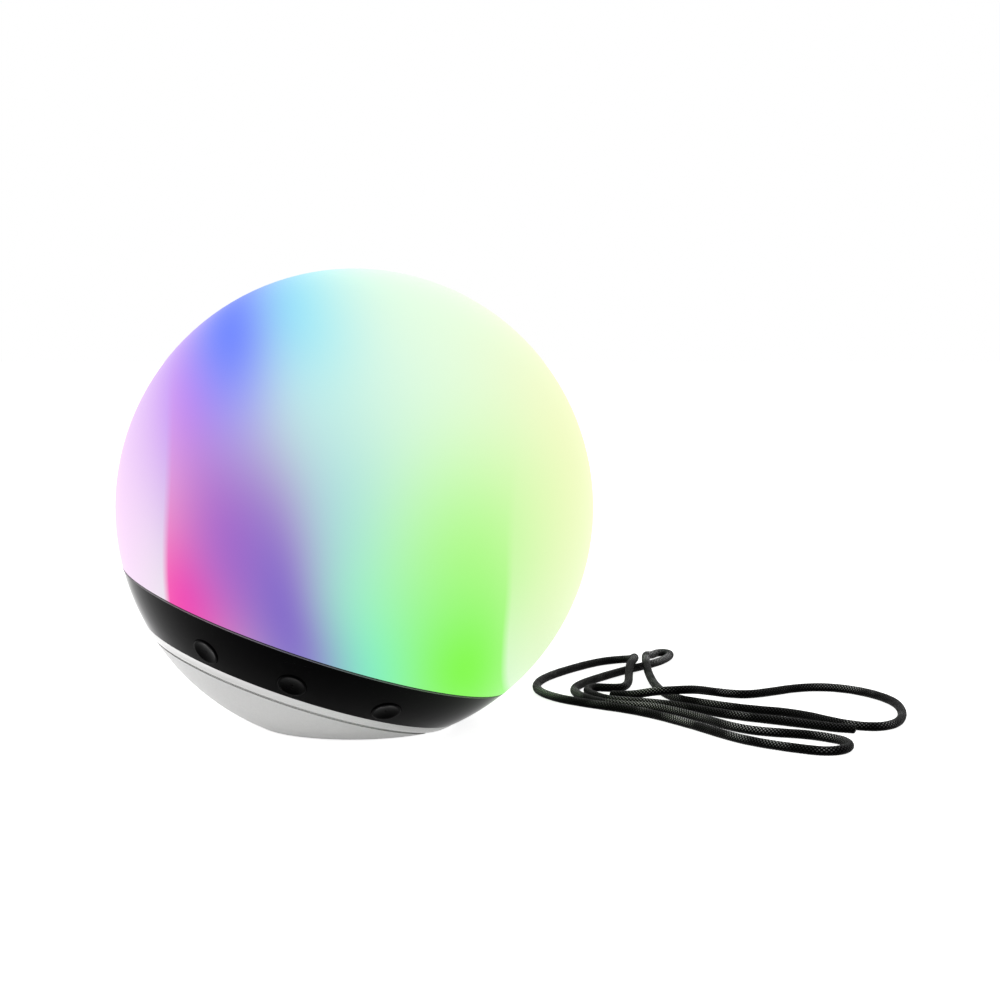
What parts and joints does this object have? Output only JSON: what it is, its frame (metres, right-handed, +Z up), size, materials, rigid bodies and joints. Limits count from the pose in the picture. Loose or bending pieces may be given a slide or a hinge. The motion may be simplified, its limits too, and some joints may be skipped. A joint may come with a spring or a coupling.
{
  "type": "garden globe light",
  "caption": "Leaning white globe light with a glossy black band of push buttons, a bright trim ring, a light grey flat-cut base and a hanging rope lying beside it.",
  "frame": {"origin": "centre of the ground footprint, straight under the centre of the ball", "axes": "+Z up, the lamp axis leans towards +X by 18.8 degrees, the push buttons face -Y"},
  "size_m": [0.3373, 0.2811, 0.192],
  "materials": {
    "diffuser": "smooth milky, lets light through",
    "band": "high gloss",
    "button": "gloss",
    "trim": "satin bright plated",
    "base": "satin silver-grey",
    "pad": "matt",
    "gasket": "matt",
    "seal": "matt silicone",
    "steel": "bright zinc",
    "carrier": "satin",
    "board_white": "white solder mask",
    "board_green": "green solder mask",
    "led": "clear dome over white body",
    "reflector": "white",
    "components": "moulded",
    "plug": "natural",
    "brass": "turned",
    "cell": "plastic sleeve",
    "tray": "moulded",
    "contact": "nickel plated",
    "switch": "moulded",
    "stem": "moulded",
    "socket": "drawn shell",
    "lead_led": "insulation",
    "lead_battery": "insulation",
    "lead_switch": "insulation",
    "lead_charge": "insulation",
    "rope": "round braid"
  },
  "bodies": {
    "lamp": {"band_housing": "band", "base_bowl": "base", "base_pillars": "brass", "battery_cells": "cell", "battery_clamp": "contact", "battery_contacts": "contact", "battery_lead": "lead_battery", "battery_tray": "tray", "board_standoffs": "brass", "bowl_gasket": "gasket", "bowl_screws": "steel", "button_seals": "seal", "carrier_screws": "steel", "charge_board": "board_green", "charge_board_screws": "steel", "charge_lead": "lead_charge", "charge_socket": "socket", "control_board": "board_green", "control_components": "components", "control_screws": "steel", "diffuser": "diffuser", "diffuser_gasket": "gasket", "diffuser_screws": "steel", "foot_pad": "pad", "led_board": "board_white", "led_board_screws": "steel", "led_carrier": "carrier", "led_lead": "lead_led", "led_plug": "plug", "leds": "led", "reflector": "reflector", "reflector_screws": "steel", "rope": "rope", "switch_board_screws": "steel", "switch_boards": "board_green", "switch_bodies": "switch", "switch_leads": "lead_switch", "tray_screws": "steel", "trim_ring": "trim"},
    "button_left": {"button_left": "button", "switch_stem_left": "stem"},
    "button_middle": {"button_middle": "button", "switch_stem_middle": "stem"},
    "button_right": {"button_right": "button", "switch_stem_right": "stem"},
    "charge_flap": {"charge_flap": "band", "flap_seal": "seal"}
  },
  "joints": [
    {"name": "press_left", "type": "slide", "parent": "lamp", "child": "button_left", "axis": [0.5518, 0.6578, 0.5127], "range_m": [0, 0.0008], "stiffness_N_per_m": 1500, "springref_m": -0.0003},
    {"name": "press_middle", "type": "slide", "parent": "lamp", "child": "button_middle", "axis": [0.2051, 0.7484, 0.6307], "range_m": [0, 0.0008], "stiffness_N_per_m": 1500, "springref_m": -0.0003},
    {"name": "press_right", "type": "slide", "parent": "lamp", "child": "button_right", "axis": [-0.1565, 0.6382, 0.7538], "range_m": [0, 0.0008], "stiffness_N_per_m": 1500, "springref_m": -0.0003},
    {"name": "flap_hinge", "type": "hinge", "parent": "lamp", "child": "charge_flap", "pos_m": [-0.02017, 0.07565, 0.03274], "axis": [0.9466, 0, -0.3223], "range_deg": [0, 90]}
  ]
}
